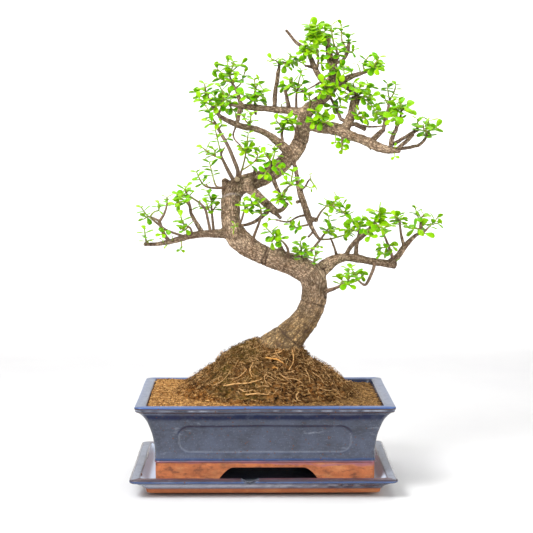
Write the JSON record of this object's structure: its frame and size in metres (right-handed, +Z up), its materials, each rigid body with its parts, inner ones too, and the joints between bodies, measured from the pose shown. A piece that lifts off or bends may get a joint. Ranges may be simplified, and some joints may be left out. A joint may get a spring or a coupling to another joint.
{
  "type": "potted dwarf jade bonsai",
  "caption": "Small succulent bonsai with a winding trunk and fine leafy sprays, in a rectangular glazed pot on a matching drip tray.",
  "frame": {"origin": "middle of the drip tray's underside, where the tray rests on the table", "axes": "+Z up; +X to the right along the pot's long side, as seen from the front; -Y towards the viewer of the front"},
  "size_m": [0.3821, 0.225, 0.5596],
  "materials": {
    "tray_glaze": "pale blue-grey glaze on the lip, bare terracotta below",
    "pot_glaze": "mottled blue-grey glaze with navy edges, bare terracotta foot",
    "coir": "loose coir and peat, matte",
    "root_fibre": "dense fibrous roots and peat, matte",
    "mesh_plastic": "matte moulded plastic",
    "bark": "finely cracked grey-brown bark",
    "foliage": "glossy succulent leaves on green and reddish shoots"
  },
  "bodies": {
    "root": {"drip_tray": "tray_glaze", "pot": "pot_glaze", "potting_soil": "coir", "root_ball": "root_fibre", "drain_mesh_left": "mesh_plastic", "drain_mesh_right": "mesh_plastic", "trunk": "bark", "spray_low_left_tip": "foliage", "spray_low_left_rising": "foliage", "spray_low_left_grey": "foliage", "spray_low_left_cut": "foliage", "spray_low_left_long": "foliage", "spray_low_left_upright": "foliage", "spray_low_left_middle": "foliage", "spray_stump_low": "foliage", "spray_stump_high": "foliage", "spray_stump_dark": "foliage", "spray_stump_long": "foliage", "spray_bend_green": "foliage", "spray_front_upright": "foliage", "spray_inner_cluster": "foliage", "spray_ring_twig": "foliage", "spray_leader_left": "foliage", "spray_leader_right": "foliage", "spray_back_fork": "foliage", "spray_low_middle": "foliage", "spray_trunk_top_left": "foliage", "spray_trunk_top_middle": "foliage", "spray_fork_sprout": "foliage", "spray_low_trunk_right": "foliage", "spray_hanging_right": "foliage", "spray_front_fork": "foliage", "spray_right_slant": "foliage", "spray_right_upright": "foliage", "spray_right_end": "foliage", "spray_right_tip_small": "foliage", "spray_right_tip_big": "foliage", "spray_right_front": "foliage", "spray_right_middle": "foliage", "spray_stub_crown": "foliage", "spray_stub_side": "foliage", "spray_crotch_front": "foliage", "spray_inner_thin": "foliage", "spray_left_of_apex_low": "foliage", "spray_upright_top": "foliage", "spray_leaning_twig": "foliage", "spray_apex_front": "foliage", "spray_apex_inner": "foliage", "spray_apex_shoot_left": "foliage", "spray_apex_shoot_right": "foliage", "spray_apex_low_front": "foliage", "spray_apex_right": "foliage", "spray_under_apex": "foliage", "spray_arch_near": "foliage", "spray_trunk_left_thin": "foliage", "spray_arch_middle": "foliage", "spray_upper_left_near": "foliage", "spray_upper_left_top": "foliage", "spray_arch_tip": "foliage", "spray_upper_left_end": "foliage"}
  },
  "joints": []
}
